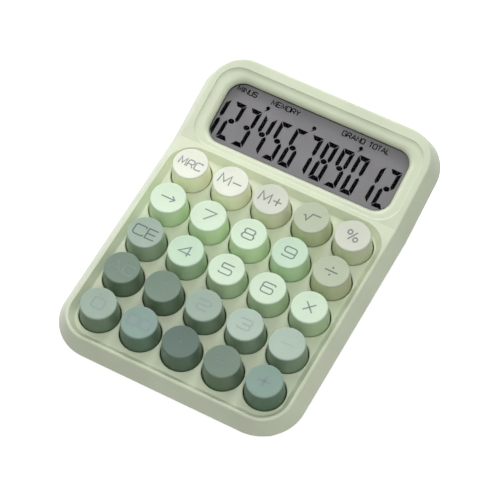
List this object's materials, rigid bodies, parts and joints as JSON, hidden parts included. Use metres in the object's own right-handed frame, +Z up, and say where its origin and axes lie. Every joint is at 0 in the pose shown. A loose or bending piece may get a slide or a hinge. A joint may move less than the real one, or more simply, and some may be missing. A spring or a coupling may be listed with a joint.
{
  "type": "desk calculator",
  "caption": "Desk calculator with round mechanical keys in a sunk deck and a tilted liquid crystal display in a dished frame.",
  "frame": {"origin": "middle of the footprint, on the plane that the rubber feet stand on", "axes": "+X to the right of the person who types, +Y away from them towards the display, +Z up"},
  "size_m": [0.1108, 0.1526, 0.04],
  "materials": {
    "case_plastic": "satin moulded plastic",
    "ivory": "satin key plastic",
    "mint": "satin key plastic",
    "sage": "satin key plastic",
    "dark_sage": "satin key plastic",
    "grey_sage": "satin key plastic",
    "blue_sage": "satin key plastic",
    "teal_grey": "satin key plastic",
    "clear_window": "clear polished",
    "display_glass": "grey polarised panel",
    "white_plastic": "moulded",
    "ribbon_film": "flexible film",
    "board": "solder mask",
    "black_resin": "epoxy",
    "switch_plastic": "moulded",
    "spring_steel": "wire",
    "contact_brass": "sheet",
    "screw_steel": "zinc plated",
    "cell_jacket": "printed sleeve",
    "wire_jacket": "insulated wire",
    "foot_rubber": "soft"
  },
  "bodies": {
    "case": {"upper_case": "case_plastic", "lower_case": "case_plastic", "display_window": "clear_window", "lcd_panel": "display_glass", "lcd_bracket": "white_plastic", "lcd_ribbon": "ribbon_film", "main_board": "board", "controller_chip": "black_resin", "switch_bases": "switch_plastic", "switch_tops": "switch_plastic", "switch_springs": "spring_steel", "switch_leaves": "contact_brass", "case_screws": "screw_steel", "board_screws": "screw_steel", "bracket_screws": "screw_steel", "battery_cell": "cell_jacket", "battery_plus_contact": "spring_steel", "battery_minus_contact": "spring_steel", "battery_leads": "wire_jacket", "rubber_feet": "foot_rubber"},
    "key_mrc": {"key_mrc": "ivory"},
    "key_m_minus": {"key_m_minus": "ivory"},
    "key_m_plus": {"key_m_plus": "ivory"},
    "key_sqrt": {"key_sqrt": "ivory"},
    "key_percent": {"key_percent": "ivory"},
    "key_backspace": {"key_backspace": "mint"},
    "key_7": {"key_7": "mint"},
    "key_8": {"key_8": "mint"},
    "key_9": {"key_9": "mint"},
    "key_divide": {"key_divide": "mint"},
    "key_ce": {"key_ce": "sage"},
    "key_4": {"key_4": "mint"},
    "key_5": {"key_5": "mint"},
    "key_6": {"key_6": "mint"},
    "key_multiply": {"key_multiply": "mint"},
    "key_ac": {"key_ac": "dark_sage"},
    "key_1": {"key_1": "dark_sage"},
    "key_2": {"key_2": "grey_sage"},
    "key_3": {"key_3": "sage"},
    "key_minus": {"key_minus": "sage"},
    "key_0": {"key_0": "blue_sage"},
    "key_00": {"key_00": "blue_sage"},
    "key_point": {"key_point": "teal_grey"},
    "key_equals": {"key_equals": "teal_grey"},
    "key_plus": {"key_plus": "grey_sage"},
    "battery_cover": {"battery_cover": "case_plastic"}
  },
  "joints": [
    {"name": "key_mrc_press", "type": "slide", "parent": "case", "child": "key_mrc", "axis": [0, 0.061, -0.9981], "range_m": [0, 0.003], "stiffness_N_per_m": 100, "springref_m": -0.003, "deforming": ["switch_springs"]},
    {"name": "key_m_minus_press", "type": "slide", "parent": "case", "child": "key_m_minus", "axis": [0, 0.061, -0.9981], "range_m": [0, 0.003], "stiffness_N_per_m": 100, "springref_m": -0.003, "deforming": ["switch_springs"]},
    {"name": "key_m_plus_press", "type": "slide", "parent": "case", "child": "key_m_plus", "axis": [0, 0.061, -0.9981], "range_m": [0, 0.003], "stiffness_N_per_m": 100, "springref_m": -0.003, "deforming": ["switch_springs"]},
    {"name": "key_sqrt_press", "type": "slide", "parent": "case", "child": "key_sqrt", "axis": [0, 0.061, -0.9981], "range_m": [0, 0.003], "stiffness_N_per_m": 100, "springref_m": -0.003, "deforming": ["switch_springs"]},
    {"name": "key_percent_press", "type": "slide", "parent": "case", "child": "key_percent", "axis": [0, 0.061, -0.9981], "range_m": [0, 0.003], "stiffness_N_per_m": 100, "springref_m": -0.003, "deforming": ["switch_springs"]},
    {"name": "key_backspace_press", "type": "slide", "parent": "case", "child": "key_backspace", "axis": [0, 0.061, -0.9981], "range_m": [0, 0.003], "stiffness_N_per_m": 100, "springref_m": -0.003, "deforming": ["switch_springs"]},
    {"name": "key_7_press", "type": "slide", "parent": "case", "child": "key_7", "axis": [0, 0.061, -0.9981], "range_m": [0, 0.003], "stiffness_N_per_m": 100, "springref_m": -0.003, "deforming": ["switch_springs"]},
    {"name": "key_8_press", "type": "slide", "parent": "case", "child": "key_8", "axis": [0, 0.061, -0.9981], "range_m": [0, 0.003], "stiffness_N_per_m": 100, "springref_m": -0.003, "deforming": ["switch_springs"]},
    {"name": "key_9_press", "type": "slide", "parent": "case", "child": "key_9", "axis": [0, 0.061, -0.9981], "range_m": [0, 0.003], "stiffness_N_per_m": 100, "springref_m": -0.003, "deforming": ["switch_springs"]},
    {"name": "key_divide_press", "type": "slide", "parent": "case", "child": "key_divide", "axis": [0, 0.061, -0.9981], "range_m": [0, 0.003], "stiffness_N_per_m": 100, "springref_m": -0.003, "deforming": ["switch_springs"]},
    {"name": "key_ce_press", "type": "slide", "parent": "case", "child": "key_ce", "axis": [0, 0.061, -0.9981], "range_m": [0, 0.003], "stiffness_N_per_m": 100, "springref_m": -0.003, "deforming": ["switch_springs"]},
    {"name": "key_4_press", "type": "slide", "parent": "case", "child": "key_4", "axis": [0, 0.061, -0.9981], "range_m": [0, 0.003], "stiffness_N_per_m": 100, "springref_m": -0.003, "deforming": ["switch_springs"]},
    {"name": "key_5_press", "type": "slide", "parent": "case", "child": "key_5", "axis": [0, 0.061, -0.9981], "range_m": [0, 0.003], "stiffness_N_per_m": 100, "springref_m": -0.003, "deforming": ["switch_springs"]},
    {"name": "key_6_press", "type": "slide", "parent": "case", "child": "key_6", "axis": [0, 0.061, -0.9981], "range_m": [0, 0.003], "stiffness_N_per_m": 100, "springref_m": -0.003, "deforming": ["switch_springs"]},
    {"name": "key_multiply_press", "type": "slide", "parent": "case", "child": "key_multiply", "axis": [0, 0.061, -0.9981], "range_m": [0, 0.003], "stiffness_N_per_m": 100, "springref_m": -0.003, "deforming": ["switch_springs"]},
    {"name": "key_ac_press", "type": "slide", "parent": "case", "child": "key_ac", "axis": [0, 0.061, -0.9981], "range_m": [0, 0.003], "stiffness_N_per_m": 100, "springref_m": -0.003, "deforming": ["switch_springs"]},
    {"name": "key_1_press", "type": "slide", "parent": "case", "child": "key_1", "axis": [0, 0.061, -0.9981], "range_m": [0, 0.003], "stiffness_N_per_m": 100, "springref_m": -0.003, "deforming": ["switch_springs"]},
    {"name": "key_2_press", "type": "slide", "parent": "case", "child": "key_2", "axis": [0, 0.061, -0.9981], "range_m": [0, 0.003], "stiffness_N_per_m": 100, "springref_m": -0.003, "deforming": ["switch_springs"]},
    {"name": "key_3_press", "type": "slide", "parent": "case", "child": "key_3", "axis": [0, 0.061, -0.9981], "range_m": [0, 0.003], "stiffness_N_per_m": 100, "springref_m": -0.003, "deforming": ["switch_springs"]},
    {"name": "key_minus_press", "type": "slide", "parent": "case", "child": "key_minus", "axis": [0, 0.061, -0.9981], "range_m": [0, 0.003], "stiffness_N_per_m": 100, "springref_m": -0.003, "deforming": ["switch_springs"]},
    {"name": "key_0_press", "type": "slide", "parent": "case", "child": "key_0", "axis": [0, 0.061, -0.9981], "range_m": [0, 0.003], "stiffness_N_per_m": 100, "springref_m": -0.003, "deforming": ["switch_springs"]},
    {"name": "key_00_press", "type": "slide", "parent": "case", "child": "key_00", "axis": [0, 0.061, -0.9981], "range_m": [0, 0.003], "stiffness_N_per_m": 100, "springref_m": -0.003, "deforming": ["switch_springs"]},
    {"name": "key_point_press", "type": "slide", "parent": "case", "child": "key_point", "axis": [0, 0.061, -0.9981], "range_m": [0, 0.003], "stiffness_N_per_m": 100, "springref_m": -0.003, "deforming": ["switch_springs"]},
    {"name": "key_equals_press", "type": "slide", "parent": "case", "child": "key_equals", "axis": [0, 0.061, -0.9981], "range_m": [0, 0.003], "stiffness_N_per_m": 100, "springref_m": -0.003, "deforming": ["switch_springs"]},
    {"name": "key_plus_press", "type": "slide", "parent": "case", "child": "key_plus", "axis": [0, 0.061, -0.9981], "range_m": [0, 0.003], "stiffness_N_per_m": 100, "springref_m": -0.003, "deforming": ["switch_springs"]},
    {"name": "battery_cover_slide", "type": "slide", "parent": "case", "child": "battery_cover", "axis": [0, 1, 0], "range_m": [0, 0.025]}
  ]
}
